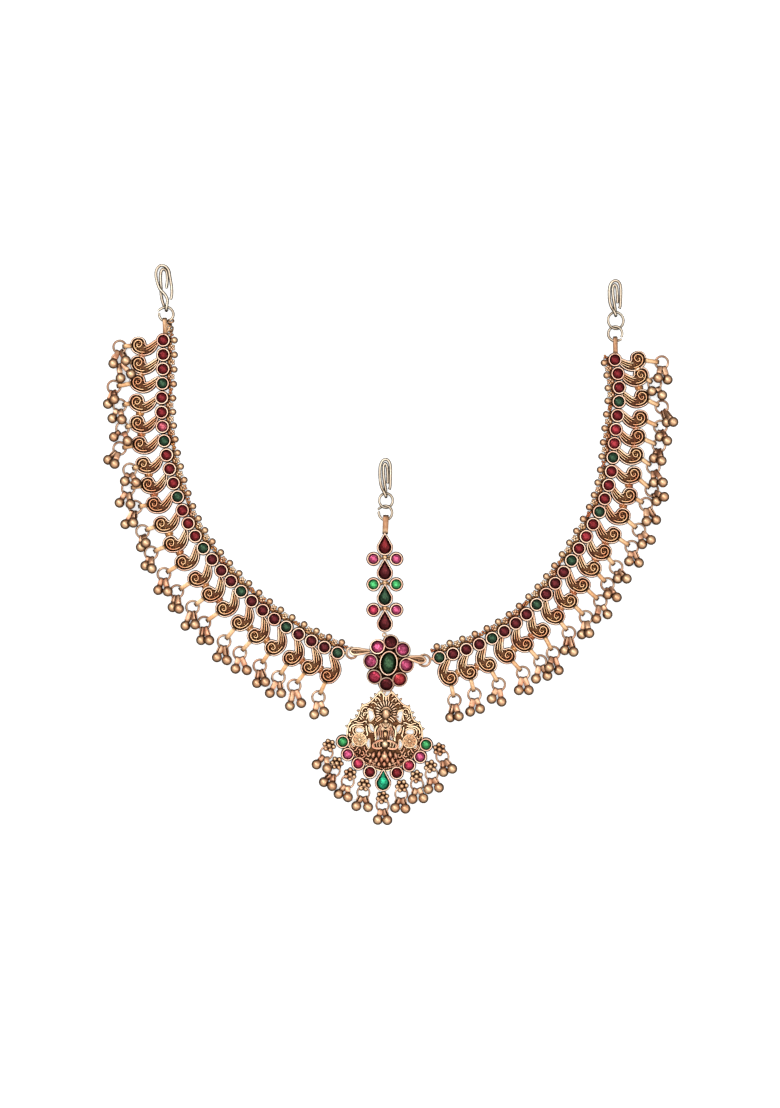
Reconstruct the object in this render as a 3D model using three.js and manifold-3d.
// Matha patti, an Indian head ornament, lying flat on its back: two wings of stones and peacocks meet at
// a flower, a strip of stones runs from the flower to the centre hook, and a pendant hangs below it.
// Millimetres, +Z up. The origin is the middle of the flower's back; +Y points along the strip.

import * as THREE from 'three';
import { mergeVertices } from 'three/addons/utils/BufferGeometryUtils.js';
import Module from 'manifold-3d';

const wasm = await Module();
wasm.setup();

// Rows of numbers under named columns.
const table = (columns, rows) => rows.map((row) => (
  Object.fromEntries(columns.map((column, i) => [column, row[i]]))));

// ---------------------------------------------------------------- driving dimensions

const GAP = 0.2;                       // between a stone and its pocket, and between pieces that touch
const SETTING = { radius: 2.3, height: 2.2, crown: 0.6, sides: 7 };
const BALL = { radius: 1.2, offset: 3.95 };              // inner balls of the wings
const RAIL = { outer: 1.4, inner: 3.4, height: 1.2 };    // solder along the settings, as far as the balls
const PEACOCK = { thickness: 1.5, curl: 2.5 };
const SECTIONS = 7;
const STONES_PER_SECTION = 4;
const PEACOCKS_PER_SECTION = 3;

// A drop hangs from a loop that begins on the peacock's curl and ends inside the jump ring.
const LOOP = { start: 2.25, shortest: 2.8, overlap: 1.3, width: 1.4, height: 2.5 };
const DROP_RING = { radius: 2.2, wire: 0.4, height: 1.3 };
const BELL = { ball: 1.65, length: 3.15, shoulder: 0.5 };
const RING_SIDES = 6;
const LINK_LOOP = { width: 1.8, wall: 0.5, height: 2.8, corner: 0.8 };

// A wing runs from its hook to the flower. Its stones are one pitch apart, and the heading changes evenly
// between the ends of its sections. `outward` is the turn from the heading to the peacocks' side, `reach`
// is how far from the stones their curls stand, and `phase` is where the first peacock stands, as a share
// of the step between two; that one may stand a little `late`.
const WINGS = {
  left: {
    start: [-78.8, 115.3], pitch: 5.03, outward: -90, reach: 8.5, phase: 0.61, late: 0,
    headings: [-88.5, -93.5, -80, -70.5, -52, -43, -30.5, -20.5],
    endLoop: { from: [-77.8, 114.5], to: [-77.9, 120.9] },
    endRing: { centre: [-12.9, 3.6], radius: 1.85 },
  },
  right: {
    start: [78.4, 108.3], pitch: 4.91, outward: 90, reach: 7.8, phase: 0.36, late: 0.26,
    headings: [-72, -97, -95.5, -117.5, -124, -135.5, -155, -168.5],
    endLoop: { from: [79.3, 107.8], to: [79.2, 114.2] },
    endRing: { centre: [12.5, 0.9], radius: 2 },
  },
};
const END_RING = { wire: 0.35, height: 1.4 };

// One peacock's outline around the middle of its curled tail, `along` the wing and `out` from its stones.
const PEACOCK_OUTLINE = table(['along', 'out'], [
  [-2.3, -7.5], [-0.8, -7.6], [0.8, -6.1], [2.6, -4.6], [3.5, -2], [3, 0.6], [1.9, 2.3], [-0.3, 2.85],
  [-2.2, 2], [-2.6, 0.3], [-2.2, -1.5], [-0.3, -2.3], [0.2, -2.9], [-0.8, -4.8],
]);
const PEACOCK_LINK = { from: { along: 3, out: -0.9 }, to: { along: -2.1, out: -0.8 }, width: 2.6, height: 1 };

// How each drop lies, from the hook to the flower: the middle of its jump ring, then of its two bells.
const DROP_COLUMNS = ['ring', 'bellA', 'bellB'];
const DROPS = {
  left: table(DROP_COLUMNS, [
    [[-94, 110.5], [-96, 104.5], [-91.5, 105.5]], [[-94.5, 106], [-93.5, 99.5], [-90, 101]],
    [[-96, 96.5], [-98, 90.5], [-95.5, 92]], [[-94, 90], [-96.5, 85.5], [-93, 85]],
    [[-93, 82], [-96, 79], [-91, 77.5]], [[-94, 75], [-98, 71], [-95.5, 69.5]],
    [[-90.5, 67.5], [-92, 63.5], [-88, 63]], [[-91, 61], [-94, 56], [-90, 55.5]],
    [[-88.5, 54.5], [-92, 48.5], [-89, 49]], [[-86, 46], [-86.5, 40.5], [-84.5, 42]],
    [[-83, 38.5], [-85, 34], [-82.5, 33]], [[-78.5, 31], [-80.5, 25.5], [-77, 25]],
    [[-74, 25], [-75.5, 19.5], [-73, 19]], [[-68.5, 19.5], [-71, 13], [-67.5, 13.5]],
    [[-64.5, 14], [-65.5, 8], [-62.5, 8]], [[-57.5, 7.5], [-60, 2], [-56.5, 1]],
    [[-52, 3.5], [-53.5, -2], [-49.5, -2.5]], [[-45, -1], [-46, -7], [-43, -6.5]],
    [[-38.5, -5], [-41.5, -10.5], [-37.5, -10.5]], [[-33, -8], [-34.5, -15], [-30.5, -14]],
    [[-24.5, -12], [-26, -18], [-22.5, -17]],
  ]),
  right: table(DROP_COLUMNS, [
    [[95.5, 105], [97.5, 99], [94, 99.5]], [[93, 97.5], [95.5, 93.5], [92, 95]],
    [[95.5, 89.5], [97, 84], [99, 84]], [[95, 82.5], [94.5, 79], [97, 77.5]],
    [[94.5, 76], [92.5, 71.5], [95, 70.5]], [[92.5, 68.5], [92.5, 63], [95.5, 63]],
    [[92, 60.5], [93.5, 56.5], [96, 58]], [[90, 55.5], [90, 49.5], [93.5, 50]],
    [[87.5, 46.5], [88.5, 41.5], [91.5, 43]], [[85, 40.5], [84, 35.5], [87.5, 35]],
    [[79.5, 33.5], [80, 29.5], [83, 29.5]], [[76.5, 27.5], [76.5, 24], [79.5, 23]],
    [[74, 21.5], [72.5, 15.5], [76.5, 17]], [[69, 16], [67.5, 10], [70, 10.5]],
    [[63, 10.5], [61.5, 4.5], [64.5, 4]], [[57.5, 3.5], [56, -1.5], [59.5, -2.5]],
    [[53, 0.5], [51.5, -5.5], [55.5, -4.5]], [[47, -3.5], [45.5, -9.5], [49, -9.5]],
    [[38.5, -7.5], [36, -12.5], [39.5, -13.5]], [[30, -11], [28.5, -17], [32, -16]],
    [[23, -13], [21.5, -19], [24.5, -18.5]],
  ]),
};

// The strip: pear stones down its axis, and a pair of round stones below each of the first three.
const PEAR = { width: 5.4, height: 7.9, wall: 0.6, depth: 2.4, floor: 1 };
const STRIP = {
  x: -1.3, top: 41.6, pitch: 8.9, roundDrop: 5.2, roundOffset: 4, roundRadius: 2.2, rail: 1.5,
  endLoop: { from: [-1.2, 45], to: [-0.9, 51.8] },
  stones: ['ruby', 'garnet', 'emerald', 'garnet'],
  roundStones: ['pink', 'green', 'pink'],
};

// The flower: an oval stone in a ring of eight round ones, named anticlockwise from the right.
const FLOWER = {
  tilt: -6, ring: [5.9, 7], petalRadius: 2.55, wall: 0.5, depth: 2.6, floor: 1.2, base: 0.9,
  oval: [3.15, 4.3], ovalDepth: 3.2,
  petals: ['pink', 'pink', 'garnet', 'pink', 'pink', 'pink', 'garnet', 'coral'],
  leftLoop: { from: [-5.95, 3.65], to: [-13.2, 3.8] },
  rightLoop: { from: [6.5, 2.3], to: [12.7, 0.9] },
};

// The pendant: `u` to the right and `v` up from its middle, turned by `tilt`.
const PENDANT = { centre: [-1.45, -28], tilt: -2, thickness: 1.6, settingRadius: 2.2, pearV: -12.8 };
const PENDANT_SETTINGS = [[14.55, 0], [12.65, -4.3], [8.85, -7.4], [4.7, -10.2]];
const PENDANT_OUTLINE = [
  [0, 16.2], [1.7, 16.6], [2.3, 17.9], [3.4, 16.9], [4.6, 15.4], [6.2, 13.9], [8.3, 13], [9.3, 10.8],
  [10, 8.7], [12.1, 7.4], [13.2, 5.2], [13.3, 1], [11.5, -3.4], [8.2, -6.6], [4.4, -8.7], [0, -10],
];
const PENDANT_HOLES = [
  { centre: [5, 10], size: [2.4, 3.4] },
  { centre: [8.75, 4.25], size: [2.6, 1.5] },
  { centre: [5.2, 4.4], size: [1.2, 5.2] },
  { centre: [5.9, -0.6], size: [1.2, 2] },
];
const PENDANT_BOSSES = [                // of the seated figure, its seat and the scrolls beside it
  { at: [0, 10.4], size: [1.9, 2.3, 2.6] },
  { at: [0, 5.2], size: [2.8, 2, 2.2] },
  { at: [0, -0.4], size: [4.6, 1.7, 2.1] },
  { at: [0, -4.6], size: [3.4, 1.8, 2] },
  { at: [7.7, 10.6], size: [1.5, 3, 1.9] },
  { at: [-7.7, 10.6], size: [1.5, 3, 1.9] },
  { at: [8.7, 1.4], size: [2, 2, 2.1] },
  { at: [-8.7, 1.4], size: [2, 2, 2.1] },
];

// The pendant's drops, left to right: a rosette, then a ring that leans from straight down and carries two
// bells, the `fork` being the angle between them.
const ROSETTE = { radius: 2.1, height: 1.9 };
const PENDANT_RING = { radius: 2.15, wire: 0.33, height: 1.2, offset: 2.75 };
const PENDANT_DROPS = table(['u', 'v', 'lean', 'fork'], [
  [-19.3, -1.5, -17, 44], [-16.4, -7.6, -21, 35], [-11.6, -11.3, -16, 38], [-6.6, -14.8, -3, 46],
  [0, -19, 2, 37], [6.6, -14.8, -2, 40], [11.6, -11.3, 6, 42], [16.4, -7.6, 10, 42], [19.3, -1.5, 24, 36],
]);

// Jump rings lie almost flat, each rolled about the chain's line so that it clears the next one.
const RINGS = {
  left_hook_ring: { centre: [-77.7, 121.9], radius: 2.5, roll: 8 },
  right_hook_ring_1: { centre: [79.4, 119.6], radius: 2.9, roll: 18 },
  right_hook_ring_2: { centre: [79.2, 115.1], radius: 2.5, roll: -18 },
  centre_hook_ring_1: { centre: [-0.9, 56.8], radius: 2.55, roll: 18 },
  centre_hook_ring_2: { centre: [-1.1, 52.5], radius: 2.5, roll: -18 },
};
const HOOK_RING = { wire: 0.36, height: 1.4 };
const LINKS = {
  strip_link: { centre: [-1.5, 9.85], radius: 0.62 },
  pendant_link: { centre: [-1.7, -10.35], radius: 0.55 },
};
const LINK_WIRE = { wire: 0.22, height: 1.2 };

// A hook is one bent wire, from its free end over the top, through its jump ring and back up inside itself.
// `side` and `up` start at the middle of that ring's wire; `z` is above the surface. `breadth` and
// `stretch` fit each hook's form to its own size.
const HOOK = { wire: 0.4, sides: 4, stepsPerPoint: 2 };
const HOOKS = {
  left_hook: { ring: 'left_hook_ring', form: 'waisted', breadth: 1, stretch: 1 },
  right_hook: { ring: 'right_hook_ring_1', form: 'plain', breadth: 1, stretch: 0.94 },
  centre_hook: { ring: 'centre_hook_ring_1', form: 'plain', breadth: 0.95, stretch: 1.01 },
};
const HOOK_COLUMNS = ['side', 'up', 'z'];
const HOOK_PATHS = {
  waisted: table(HOOK_COLUMNS, [
    [1.6, 2.5, 1.8], [2, 4.5, 2], [1.9, 7.25, 2.1], [1.35, 10.5, 2.1], [0.9, 12.8, 1.9], [-0.3, 14.2, 1.7],
    [-2, 14.5, 1.5], [-3.3, 13.2, 1.3], [-3.65, 11.3, 1.2], [-3.2, 8.8, 1.3], [-2.4, 6.6, 1.6],
    [-1.4, 5.4, 1.9], [-0.3, 4.2, 2.1], [0.5, 2.5, 2.2], [0.35, 0.8, 2.4], [0.1, -0.8, 2.2], [0, -1.25, 1.4],
    [0, -0.8, 0.6], [-1, 0.9, 0.45], [-1.6, 2.8, 0.45], [-1.9, 4.8, 0.45], [-1.9, 7.5, 0.45],
    [-2.1, 10.5, 0.45], [-1.8, 12.7, 0.45], [-0.9, 13.4, 0.45], [0, 12.6, 0.45], [0.3, 10.5, 0.45],
    [0.2, 8.3, 0.45], [-0.1, 6.6, 0.45],
  ]),
  plain: table(HOOK_COLUMNS, [
    [1.2, 1.3, 1.6], [1.5, 2.3, 1.9], [1.65, 5, 2.1], [1.7, 8.4, 2.1], [1.3, 10.7, 1.9], [0.2, 11.7, 1.7],
    [-1.2, 11.3, 1.5], [-2.1, 9.6, 1.3], [-2.3, 7, 1.2], [-2.1, 4, 1.2], [-1.5, 1.8, 1.4], [-0.7, 0.4, 2],
    [-0.1, -0.9, 2.2], [0, -1.25, 1.4], [0, -0.8, 0.6], [-0.1, 0.9, 0.45], [-0.4, 2.8, 0.45],
    [-0.8, 5.5, 0.45], [-1, 8.2, 0.45], [-0.8, 9.8, 0.45], [-0.2, 10.3, 0.45], [0.4, 9.3, 0.45],
    [0.6, 7, 0.45],
    [0.7, 4.5, 0.45], [0.6, 3.4, 0.45],
  ]),
};

// ---------------------------------------------------------------- materials

const GOLD = new THREE.MeshStandardMaterial({ color: 0xc08f5c, roughness: 0.45, metalness: 1 });
const PALE_GOLD = new THREE.MeshStandardMaterial({ color: 0xc8b9a0, roughness: 0.35, metalness: 1 });
const STONES = {
  ruby: new THREE.MeshStandardMaterial({ color: 0x93303c, roughness: 0.12, metalness: 0 }),
  garnet: new THREE.MeshStandardMaterial({ color: 0x6e2628, roughness: 0.12, metalness: 0 }),
  pink: new THREE.MeshStandardMaterial({ color: 0xc2527e, roughness: 0.12, metalness: 0 }),
  coral: new THREE.MeshStandardMaterial({ color: 0xb8443c, roughness: 0.12, metalness: 0 }),
  green: new THREE.MeshStandardMaterial({ color: 0x3f9a58, roughness: 0.12, metalness: 0 }),
  emerald: new THREE.MeshStandardMaterial({ color: 0x1f6641, roughness: 0.12, metalness: 0 }),
};

// ---------------------------------------------------------------- shapes

const radians = THREE.MathUtils.degToRad;
const direction = (degrees) => [Math.cos(radians(degrees)), Math.sin(radians(degrees))];
const stepped = ([x, y], degrees, distance) => {
  const [dx, dy] = direction(degrees);
  return [x + dx * distance, y + dy * distance];
};

// Turns a closed geometry into an exact solid, without the empty triangles at the poles of a lathe.
function solidOf(geometry) {
  geometry.deleteAttribute('normal');
  geometry.deleteAttribute('uv');
  const welded = mergeVertices(geometry, 1e-4);
  const triVerts = [];
  for (let i = 0; i < welded.index.count; i += 3) {
    const corners = [0, 1, 2].map((step) => welded.index.getX(i + step));
    if (new Set(corners).size === 3) triVerts.push(...corners);
  }
  return new wasm.Manifold(new wasm.Mesh({
    numProp: 3,
    vertProperties: new Float32Array(welded.attributes.position.array),
    triVerts: new Uint32Array(triVerts),
  }));
}

function joined(geometries) {
  return geometries.map(solidOf).reduce((whole, solid) => whole.add(solid));
}

function meshOf(name, solid, material) {
  const { vertProperties, triVerts } = solid.getMesh();
  const geometry = new THREE.BufferGeometry();
  geometry.setAttribute('position', new THREE.BufferAttribute(vertProperties, 3));
  geometry.setIndex(new THREE.BufferAttribute(triVerts, 1));
  geometry.computeVertexNormals();
  const mesh = new THREE.Mesh(geometry, material);
  mesh.name = name;
  return mesh;
}

function extruded(points, low, high) {
  const shape = new THREE.Shape(points.map(([x, y]) => new THREE.Vector2(x, y)));
  const geometry = new THREE.ExtrudeGeometry(shape, { depth: high - low, bevelEnabled: false });
  return geometry.translate(0, 0, low);
}

// Turned about the vertical through `centre`; the profile is radius and height, from axis to axis.
function turned(profile, [x, y], sides) {
  const points = profile.map(([radius, height]) => new THREE.Vector2(radius, height));
  return new THREE.LatheGeometry(points, sides).rotateX(Math.PI / 2).translate(x, y, 0);
}

function bar(from, to, width, low, high) {
  const length = Math.hypot(to[0] - from[0], to[1] - from[1]);
  return new THREE.BoxGeometry(length, width, high - low)
    .rotateZ(Math.atan2(to[1] - from[1], to[0] - from[0]))
    .translate((from[0] + to[0]) / 2, (from[1] + to[1]) / 2, (low + high) / 2);
}

function ball([x, y], radius, height) {
  return new THREE.IcosahedronGeometry(radius, 0).translate(x, y, height);
}

// A half egg on its flat side.
function boss([x, y], [halfWidth, halfLength, height]) {
  return turned([[0, 0], [1, 0], [0.75, 0.75], [0, 1]], [0, 0], 8)
    .scale(halfWidth, halfLength, height)
    .translate(x, y, 0);
}

function ring([x, y], radius, wire, height, sides = RING_SIDES, wireSides = 3) {
  return new THREE.TorusGeometry(radius, wire, wireSides, sides).translate(x, y, height);
}

// Where the wire of a many-sided ring runs, in the given direction from its middle.
function wireRadius(radius, degrees) {
  const half = 180 / RING_SIDES;
  const fromMiddle = THREE.MathUtils.euclideanModulo(degrees, 2 * half) - half;
  return (radius * Math.cos(radians(half))) / Math.cos(radians(fromMiddle));
}

// A domed stone and its setting in one.
function setting(centre, radius = SETTING.radius) {
  const { height, crown, sides } = SETTING;
  return turned([[0, 0], [radius, 0], [radius, height], [0, height + crown]], centre, sides);
}

// A band bent into a long upright loop, standing between two points.
function linkLoop({ from, to }) {
  const { width, wall, height, corner } = LINK_LOOP;
  const length = Math.hypot(to[0] - from[0], to[1] - from[1]);
  const outline = (inset) => [
    [inset, corner], [corner, inset], [length - corner, inset], [length - inset, corner],
    [length - inset, height - corner], [length - corner, height - inset], [corner, height - inset],
    [inset, height - corner],
  ].map(([along, up]) => new THREE.Vector2(along, up));
  const shape = new THREE.Shape(outline(0));
  shape.holes.push(new THREE.Path(outline(wall)));
  return new THREE.ExtrudeGeometry(shape, { depth: width, bevelEnabled: false })
    .translate(0, 0, -width / 2)
    .rotateX(Math.PI / 2)
    .rotateZ(Math.atan2(to[1] - from[1], to[0] - from[0]))
    .translate(from[0], from[1], 0);
}

// A pear's outline, its tip towards +Y: straight shoulders and a round foot.
function pearOutline([x, y], width, height, inset = 0) {
  const radius = width / 2 - inset;
  const footY = y - height / 2 + width / 2;
  const points = [[x, y + height / 2 - inset * 2]];
  const footStart = 168;
  const footEnd = 372;
  for (let step = 0; step <= 9; step += 1) {
    const [dx, dy] = direction(footStart + ((footEnd - footStart) * step) / 9);
    points.push([x + dx * radius, footY + dy * radius]);
  }
  return points;
}

function ovalOutline([x, y], halfWidth, halfLength, tilt, count = 12) {
  return Array.from({ length: count }, (_, i) => {
    const [c, s] = direction((360 * i) / count);
    const point = new THREE.Vector2(halfWidth * c, halfLength * s);
    point.rotateAround(new THREE.Vector2(), radians(tilt));
    return [x + point.x, y + point.y];
  });
}

// A cut stone: its girdle stands in the pocket and its crown tapers to a flat table.
function cutStone(outline, centre, low, girdle, table) {
  const share = 0.6;
  const top = outline.map(([x, y]) => [
    centre[0] + (x - centre[0]) * share, centre[1] + (y - centre[1]) * share]);
  const levels = [[outline, low], [outline, girdle], [top, table]];
  const count = outline.length;
  const positions = levels.flatMap(([points, z]) => points.flatMap(([x, y]) => [x, y, z]));
  positions.push(...centre, low, ...centre, table);
  const foot = levels.length * count;
  const index = [];
  for (let i = 0; i < count; i += 1) {
    const next = (i + 1) % count;
    for (let level = 0; level + 1 < levels.length; level += 1) {
      const [a, b] = [level * count + i, level * count + next];
      index.push(a, b, b + count, a, b + count, a + count);
    }
    const last = (levels.length - 1) * count;
    index.push(foot, next, i, foot + 1, last + i, last + next);
  }
  const geometry = new THREE.BufferGeometry();
  geometry.setAttribute('position', new THREE.Float32BufferAttribute(positions, 3));
  geometry.setIndex(index);
  return solidOf(geometry);
}

// ---------------------------------------------------------------- drops

// The height at which a ball comes to rest over the spheres already there.
function restHeight([x, y], radius, obstacles) {
  return obstacles.reduce((height, obstacle) => {
    const reach = radius + obstacle.radius + GAP;
    const apart = Math.hypot(x - obstacle.at[0], y - obstacle.at[1]);
    if (apart >= reach) return height;
    return Math.max(height, obstacle.z + Math.sqrt(reach ** 2 - apart ** 2));
  }, radius);
}

function ringObstacles(centre, radius, wire, height) {
  return [0, 45, 90, 135, 180, 225, 270, 315].map((angle) => (
    { at: stepped(centre, angle, radius), radius: wire, z: height }));
}

// A bell: a thin neck on the jump ring's wire and a round body at `middle`.
function bell(bail, middle) {
  const { ball: radius, shoulder } = BELL;
  const length = bail.distanceTo(middle);
  const waist = radius * 0.92;
  const profile = [
    [0, 0], [waist, Math.max(length - shoulder, 0.3)], [waist, length + shoulder], [0, length + radius],
  ].map(([r, along]) => new THREE.Vector2(r, along));
  const turn = new THREE.Quaternion().setFromUnitVectors(
    new THREE.Vector3(0, 1, 0), middle.clone().sub(bail).normalize());
  return new THREE.LatheGeometry(profile, 5).applyQuaternion(turn).translate(bail.x, bail.y, bail.z);
}

// The direction, in degrees, and the distance from one plan point to another.
function bearing(from, to) {
  const [x, y] = [to[0] - from[0], to[1] - from[1]];
  return { angle: THREE.MathUtils.radToDeg(Math.atan2(y, x)), apart: Math.hypot(x, y) };
}

// Rests the bells of a row of drops, the last first, each over the ones placed before it.
function restBells(drops) {
  const placed = [];
  for (const drop of [...drops].reverse()) {
    const others = drops.filter((other) => other !== drop).flatMap((other) => other.obstacles);
    drop.bells = drop.bellsAt.map((at) => {
      const z = restHeight(at, BELL.ball, [...others, ...placed]);
      placed.push({ at, radius: BELL.ball, z });
      const { angle } = bearing(drop.ring, at);
      const bail = stepped(drop.ring, angle, wireRadius(drop.radius, angle));
      return bell(new THREE.Vector3(...bail, drop.height), new THREE.Vector3(...at, z));
    });
  }
  return drops;
}

// ---------------------------------------------------------------- wings

function routeOf(wing) {
  const length = SECTIONS * STONES_PER_SECTION;        // in pitches
  const headingAt = (station) => {
    const place = THREE.MathUtils.clamp(station / STONES_PER_SECTION, 0, SECTIONS - 1e-6);
    const section = Math.floor(place);
    return THREE.MathUtils.lerp(wing.headings[section], wing.headings[section + 1], place - section);
  };
  const stepsPerPitch = 4;
  const points = [wing.start];
  for (let step = 0; step < length * stepsPerPitch; step += 1) {
    const heading = headingAt((step + 0.5) / stepsPerPitch);
    points.push(stepped(points[step], heading, wing.pitch / stepsPerPitch));
  }
  return (station, offset = 0) => {
    const heading = headingAt(station);
    const step = Math.min(Math.floor(station * stepsPerPitch), points.length - 1);
    const onLine = stepped(points[step], heading, (station - step / stepsPerPitch) * wing.pitch);
    return { at: stepped(onLine, heading + wing.outward, offset), heading };
  };
}

function peacockPoint(wing, { at, heading }, { along, out }) {
  return stepped(stepped(at, heading, along), heading + wing.outward, out);
}

function wingDrops(side, wing, route) {
  const drops = DROPS[side].map(({ ring: centre, bellA, bellB }, index) => {
    const step = index + wing.phase + (index === 0 ? wing.late : 0);
    const curl = route((step * STONES_PER_SECTION) / PEACOCKS_PER_SECTION, wing.reach);
    const { angle, apart } = bearing(curl.at, centre);
    const loopEnd = apart - DROP_RING.radius + LOOP.overlap;
    const loopStart = Math.min(LOOP.start, loopEnd - LOOP.shortest);
    const obstacles = [
      ...ringObstacles(centre, DROP_RING.radius, DROP_RING.wire, DROP_RING.height),
      ...[0.2, 0.5, 0.85].map((share) => {
        const along = THREE.MathUtils.lerp(loopStart, loopEnd, share);
        return { at: stepped(curl.at, angle, along), radius: 0.65, z: 2 };
      }),
      { at: curl.at, radius: PEACOCK.curl, z: PEACOCK.thickness - PEACOCK.curl },
    ];
    const loopEnds = [loopStart, loopEnd].map((along) => stepped(curl.at, angle, along));
    return { ...DROP_RING, curl, ring: centre, bellsAt: [bellA, bellB], loopEnds, obstacles };
  });
  return restBells(drops);
}

function rail(route, section) {
  const first = section * STONES_PER_SECTION + 0.5;
  const stations = [0, 1, 2, 3].map((i) => first + i);
  return extruded([
    ...stations.map((station) => route(station, -RAIL.outer).at),
    ...[...stations].reverse().map((station) => route(station, -RAIL.inner).at),
  ], 0, RAIL.height);
}

function wingSection(wing, route, drops, section) {
  const pieces = [];
  for (let i = 0; i < STONES_PER_SECTION; i += 1) {
    const station = section * STONES_PER_SECTION + i + 0.5;
    const stone = route(station).at;
    pieces.push(setting(stone), ball(route(station, -BALL.offset).at, BALL.radius, BALL.radius));
  }
  pieces.push(rail(route, section));
  for (let i = 0; i < PEACOCKS_PER_SECTION; i += 1) {
    const drop = drops[section * PEACOCKS_PER_SECTION + i];
    const outline = PEACOCK_OUTLINE.map((point) => peacockPoint(wing, drop.curl, point));
    pieces.push(
      extruded(outline, 0, PEACOCK.thickness),
      bar(...drop.loopEnds, LOOP.width, 0, LOOP.height),
      ring(drop.ring, drop.radius, drop.wire, drop.height),
      ...drop.bells,
    );
    if (i > 0) {
      const before = drops[section * PEACOCKS_PER_SECTION + i - 1];
      const belly = peacockPoint(wing, before.curl, PEACOCK_LINK.from);
      const front = peacockPoint(wing, drop.curl, PEACOCK_LINK.to);
      pieces.push(bar(belly, front, PEACOCK_LINK.width, 0, PEACOCK_LINK.height));
    }
  }
  if (section === 0) pieces.push(linkLoop(wing.endLoop));
  if (section === SECTIONS - 1) {
    const last = route(SECTIONS * STONES_PER_SECTION - 0.5).at;
    const { centre, radius } = wing.endRing;
    const toward = [0.25, 0.25].map((share, axis) => centre[axis] + (last[axis] - centre[axis]) * share);
    pieces.push(ring(centre, radius, END_RING.wire, END_RING.height, 12, 4), bar(last, toward, 1, 0.6, 1.6));
  }
  return joined(pieces);
}

function wingMeshes(side) {
  const wing = WINGS[side];
  const route = routeOf(wing);
  const drops = wingDrops(side, wing, route);
  return Array.from({ length: SECTIONS }, (_, section) => (
    meshOf(`${side}_wing_${section + 1}`, wingSection(wing, route, drops, section), GOLD)));
}

// ---------------------------------------------------------------- strip

function pearSetting(centre) {
  const { width, height, wall, depth, floor } = PEAR;
  const pocket = extruded(pearOutline(centre, width, height, wall), floor, depth + 1);
  return solidOf(extruded(pearOutline(centre, width, height), 0, depth)).subtract(solidOf(pocket));
}

function pearStone(name, centre, material) {
  const { width, height, wall, depth, floor } = PEAR;
  const outline = pearOutline(centre, width, height, wall + GAP);
  return meshOf(name, cutStone(outline, centre, floor + GAP, depth, depth + 0.7), material);
}

function roundSetting(centre, radius, wall, floor, depth) {
  return turned([
    [0, 0], [radius, 0], [radius, depth], [radius - wall, depth], [radius - wall, floor], [0, floor],
  ], centre, 8);
}

function roundStone(name, centre, radius, floor, depth, material) {
  const crown = depth + 0.5;
  const profile = [[0, floor], [radius, floor], [radius, depth], [radius * 0.6, crown], [0, crown]];
  return meshOf(name, solidOf(turned(profile, centre, 8)), material);
}

function stripMeshes() {
  const { x, top, pitch, roundDrop, roundOffset, roundRadius, rail, endLoop } = STRIP;
  const wall = 0.5;
  const floor = 1;
  const rounds = [];
  const stones = [];
  let metal = joined([linkLoop(endLoop)]);
  STRIP.stones.forEach((stone, i) => {
    const centre = [x, top - pitch * i];
    const foot = [x, centre[1] - PEAR.height / 2 + 0.6];
    metal = metal.add(pearSetting(centre));
    stones.push(pearStone(`strip_pear_${i + 1}`, centre, STONES[stone]));
    if (i + 1 === STRIP.stones.length) return;
    const nextTip = [x, foot[1] - (pitch - PEAR.height) - 1.4];
    metal = metal.add(solidOf(bar(foot, nextTip, rail, 0, 1.4)));
    for (const sign of [-1, 1]) {
      const at = [x + sign * roundOffset, centre[1] - roundDrop];
      const inner = [x + sign * (roundOffset - roundRadius + 0.4), at[1]];
      metal = metal.add(solidOf(bar([x, at[1]], inner, 1.2, 0, 1.2)))
        .add(solidOf(roundSetting(at, roundRadius, wall, floor, SETTING.height)));
      rounds.push({ at, material: STONES[STRIP.roundStones[i]] });
    }
  });
  rounds.forEach(({ at, material }, i) => {
    const radius = roundRadius - wall - GAP;
    stones.push(roundStone(`strip_round_${i + 1}`, at, radius, floor + GAP, SETTING.height, material));
  });
  return [meshOf('strip_setting', metal, GOLD), ...stones];
}

// ---------------------------------------------------------------- flower

function flowerMeshes() {
  const { tilt, petalRadius, wall, depth, floor, base, oval, ovalDepth } = FLOWER;
  let metal = solidOf(extruded(ovalOutline([0, 0], ...FLOWER.ring, tilt, 16), 0, base));
  const stones = [];
  FLOWER.petals.forEach((stone, i) => {
    const [c, s] = direction(45 * i);
    const at = new THREE.Vector2(FLOWER.ring[0] * c, FLOWER.ring[1] * s)
      .rotateAround(new THREE.Vector2(), radians(tilt))
      .toArray();
    metal = metal.add(solidOf(roundSetting(at, petalRadius, wall, floor, depth)));
    const radius = petalRadius - wall - GAP;
    stones.push(roundStone(`flower_round_${i + 1}`, at, radius, floor + GAP, depth, STONES[stone]));
  });
  const cup = solidOf(extruded(ovalOutline([0, 0], ...oval, tilt), base / 2, ovalDepth));
  const pocket = ovalOutline([0, 0], oval[0] - wall, oval[1] - wall, tilt);
  metal = metal.add(cup)
    .subtract(solidOf(extruded(pocket, floor, ovalDepth + 1)))
    .add(solidOf(linkLoop(FLOWER.leftLoop)))
    .add(solidOf(linkLoop(FLOWER.rightLoop)));
  const girdle = ovalOutline([0, 0], oval[0] - wall - GAP, oval[1] - wall - GAP, tilt);
  const ovalStone = cutStone(girdle, [0, 0], floor + GAP, ovalDepth, ovalDepth + 0.9);
  return [meshOf('flower_setting', metal, GOLD), meshOf('flower_oval', ovalStone, STONES.emerald), ...stones];
}

// ---------------------------------------------------------------- pendant

function onPendant([u, v]) {
  const point = new THREE.Vector2(u, v).rotateAround(new THREE.Vector2(), radians(PENDANT.tilt));
  return [PENDANT.centre[0] + point.x, PENDANT.centre[1] + point.y];
}

const mirrored = ([u, v]) => [-u, v];

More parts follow.
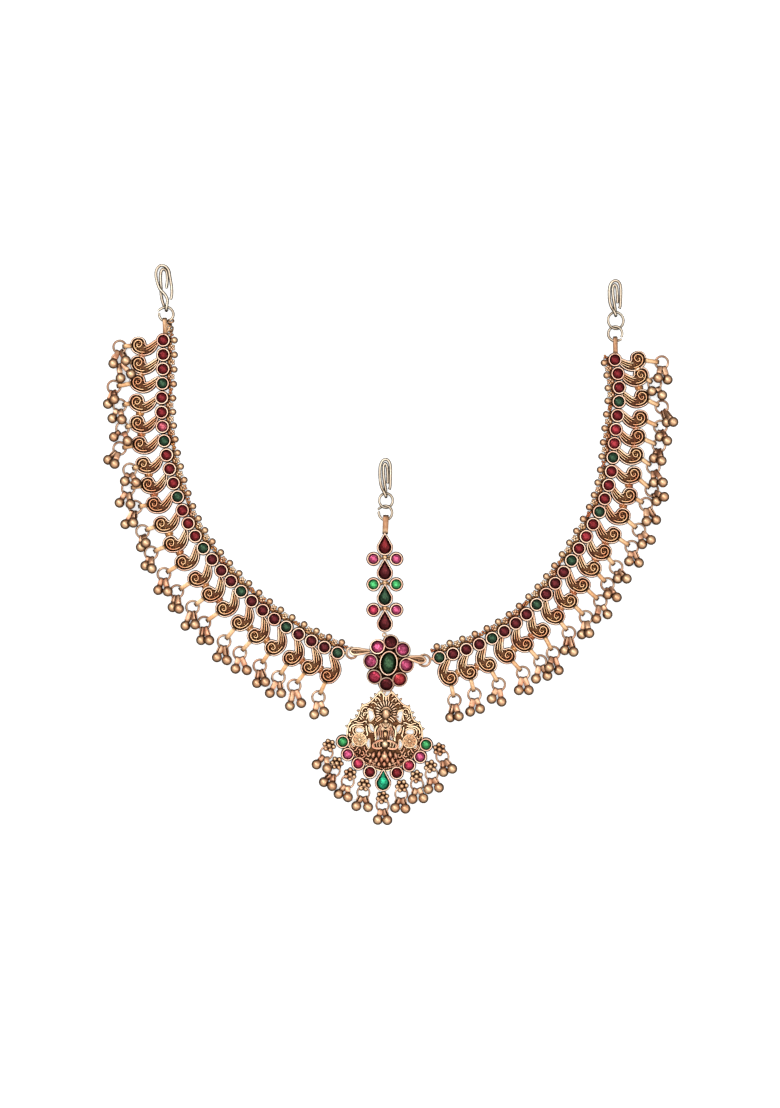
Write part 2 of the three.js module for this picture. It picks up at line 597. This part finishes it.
function plateSolid() {
  const outline = [...PENDANT_OUTLINE, ...PENDANT_OUTLINE.slice(1, -1).reverse().map(mirrored)];
  let plate = solidOf(extruded(outline.map(onPendant), 0, PENDANT.thickness));
  for (const { centre, size } of PENDANT_HOLES) {
    for (const at of [centre, mirrored(centre)]) {
      const hole = ovalOutline(onPendant(at), size[0] / 2, size[1] / 2, PENDANT.tilt, 6);
      plate = plate.subtract(solidOf(extruded(hole, -1, PENDANT.thickness + 1)));
    }
  }
  return plate;
}

function pendantMeshes() {
  const { settingRadius, pearV, thickness } = PENDANT;
  let metal = plateSolid();
  for (const { at, size } of PENDANT_BOSSES) {
    const block = solidOf(new THREE.BoxGeometry(20, 20, 20).translate(...onPendant(at), 10 + thickness / 2));
    metal = metal.add(solidOf(boss(onPendant(at), size)).intersect(block));
  }
  for (const at of PENDANT_SETTINGS) {
    metal = metal.add(solidOf(setting(onPendant(at), settingRadius)))
      .add(solidOf(setting(onPendant(mirrored(at)), settingRadius)));
  }
  const pear = onPendant([0, pearV]);
  metal = metal.add(pearSetting(pear));
  return [
    meshOf('pendant_plate', metal, GOLD),
    pearStone('pendant_pear', pear, STONES.emerald),
    ...pendantDrops(),
  ];
}

function pendantDrops() {
  const down = -90 + PENDANT.tilt;
  const rosetteObstacles = (at) => [0, 60, 120, 180, 240, 300].map((angle) => (
    { at: stepped(at, angle, 1.2), radius: 0.95, z: 0.95 }));
  const drops = PENDANT_DROPS.map(({ u, v, lean, fork }) => {
    const rosette = onPendant([u, v]);
    const centre = stepped(rosette, down + lean, PENDANT_RING.offset);
    const { radius, wire, height } = PENDANT_RING;
    return {
      rosette, ring: centre, radius, wire, height,
      bellsAt: [-0.5, 0.5].map((half) => stepped(centre, down + lean + half * fork, radius + BELL.length)),
      obstacles: [...ringObstacles(centre, radius, wire, height), ...rosetteObstacles(rosette)],
    };
  });
  return restBells(drops).map((drop, i) => {
    const { radius, height } = ROSETTE;
    const rosette = turned([[0, 0], [radius, 0], [radius, height], [0, height]], drop.rosette, 8);
    const solid = joined([rosette, ring(drop.ring, drop.radius, drop.wire, drop.height), ...drop.bells]);
    return meshOf(`pendant_drop_${i + 1}`, solid, GOLD);
  });
}

// ---------------------------------------------------------------- hooks and their rings

function hookMesh(name, { ring: ringName, form, breadth, stretch }) {
  const { centre, radius } = RINGS[ringName];
  const foot = [centre[0], centre[1] + radius];
  const path = HOOK_PATHS[form].map(({ side, up, z }) => (
    new THREE.Vector3(foot[0] + side * breadth, foot[1] + (up > 0 ? up * stretch : up), z)));
  const section = new THREE.Shape(ovalOutline([0, 0], HOOK.wire, HOOK.wire, 0, HOOK.sides)
    .map(([x, y]) => new THREE.Vector2(x, y)));
  const wire = new THREE.ExtrudeGeometry(section, {
    steps: HOOK.stepsPerPoint * path.length,
    extrudePath: new THREE.CatmullRomCurve3(path),
    bevelEnabled: false,
  });
  return meshOf(name, solidOf(wire), PALE_GOLD);
}

function hookRingMesh(name, { centre, radius, roll }) {
  const geometry = new THREE.TorusGeometry(radius, HOOK_RING.wire, 4, 12)
    .rotateY(radians(roll))
    .translate(...centre, HOOK_RING.height);
  return meshOf(name, solidOf(geometry), PALE_GOLD);
}

function linkMesh(name, { centre, radius }) {
  return meshOf(name, solidOf(ring(centre, radius, LINK_WIRE.wire, LINK_WIRE.height, 8, 3)), GOLD);
}

// ---------------------------------------------------------------- the whole ornament

const mathaPatti = new THREE.Group();
mathaPatti.add(
  ...wingMeshes('left'),
  ...wingMeshes('right'),
  ...stripMeshes(),
  ...flowerMeshes(),
  ...pendantMeshes(),
  ...Object.entries(HOOKS).map(([name, hook]) => hookMesh(name, hook)),
  ...Object.entries(RINGS).map(([name, entry]) => hookRingMesh(name, entry)),
  ...Object.entries(LINKS).map(([name, link]) => linkMesh(name, link)),
);

export default mathaPatti;
